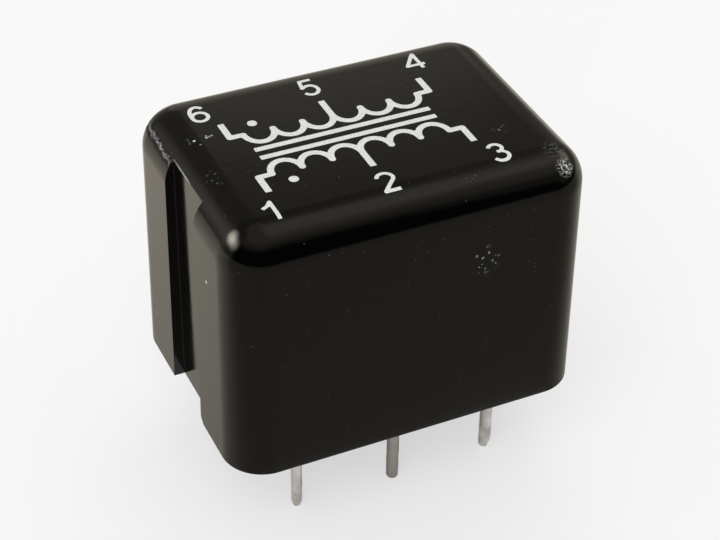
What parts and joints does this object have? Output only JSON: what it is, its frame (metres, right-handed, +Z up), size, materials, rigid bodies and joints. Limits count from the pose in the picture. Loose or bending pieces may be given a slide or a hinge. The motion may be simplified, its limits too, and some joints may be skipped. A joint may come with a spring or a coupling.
{
  "type": "audio transformer",
  "caption": "Miniature board-mounted audio transformer: a wound bobbin and laminated core cast in a rounded black moulded case, with a key channel up one end and two rows of round pins.",
  "frame": {"origin": "centre of the six pins on the seating plane, where the open rim of the case meets the circuit board", "axes": "+X along the pin rows, away from the end with the key channel; +Z up from the board through the printed top; -Z along the pins; pins 1 to 3 at -Y"},
  "size_m": [0.0222, 0.0162, 0.0223],
  "materials": {
    "case_plastic": "satin",
    "resin": "satin",
    "tinned_pin": "satin",
    "bobbin_nylon": "satin",
    "copper_wire": "satin",
    "tape_film": "satin",
    "lead_enamel": "satin",
    "solder": "satin",
    "core_steel": "satin"
  },
  "bodies": {
    "root": {"moulded_case": "case_plastic", "potting_resin": "resin", "bobbin": "bobbin_nylon", "primary_winding": "copper_wire", "interlayer_tape": "tape_film", "secondary_winding": "copper_wire", "outer_tape": "tape_film", "terminal_pin_1": "tinned_pin", "terminal_pin_2": "tinned_pin", "terminal_pin_3": "tinned_pin", "terminal_pin_4": "tinned_pin", "terminal_pin_5": "tinned_pin", "terminal_pin_6": "tinned_pin", "lead_wire_1": "lead_enamel", "lead_wire_2": "lead_enamel", "lead_wire_3": "lead_enamel", "lead_wire_4": "lead_enamel", "lead_wire_5": "lead_enamel", "lead_wire_6": "lead_enamel", "solder_bead_1": "solder", "solder_bead_2": "solder", "solder_bead_3": "solder", "solder_bead_4": "solder", "solder_bead_5": "solder", "solder_bead_6": "solder", "e_lamination_01": "core_steel", "e_lamination_02": "core_steel", "e_lamination_03": "core_steel", "e_lamination_04": "core_steel", "e_lamination_05": "core_steel", "e_lamination_06": "core_steel", "e_lamination_07": "core_steel", "e_lamination_08": "core_steel", "e_lamination_09": "core_steel", "e_lamination_10": "core_steel", "e_lamination_11": "core_steel", "e_lamination_12": "core_steel", "e_lamination_13": "core_steel", "e_lamination_14": "core_steel", "i_lamination_01": "core_steel", "i_lamination_02": "core_steel", "i_lamination_03": "core_steel", "i_lamination_04": "core_steel", "i_lamination_05": "core_steel", "i_lamination_06": "core_steel", "i_lamination_07": "core_steel", "i_lamination_08": "core_steel", "i_lamination_09": "core_steel", "i_lamination_10": "core_steel", "i_lamination_11": "core_steel", "i_lamination_12": "core_steel", "i_lamination_13": "core_steel", "i_lamination_14": "core_steel"}
  },
  "joints": []
}
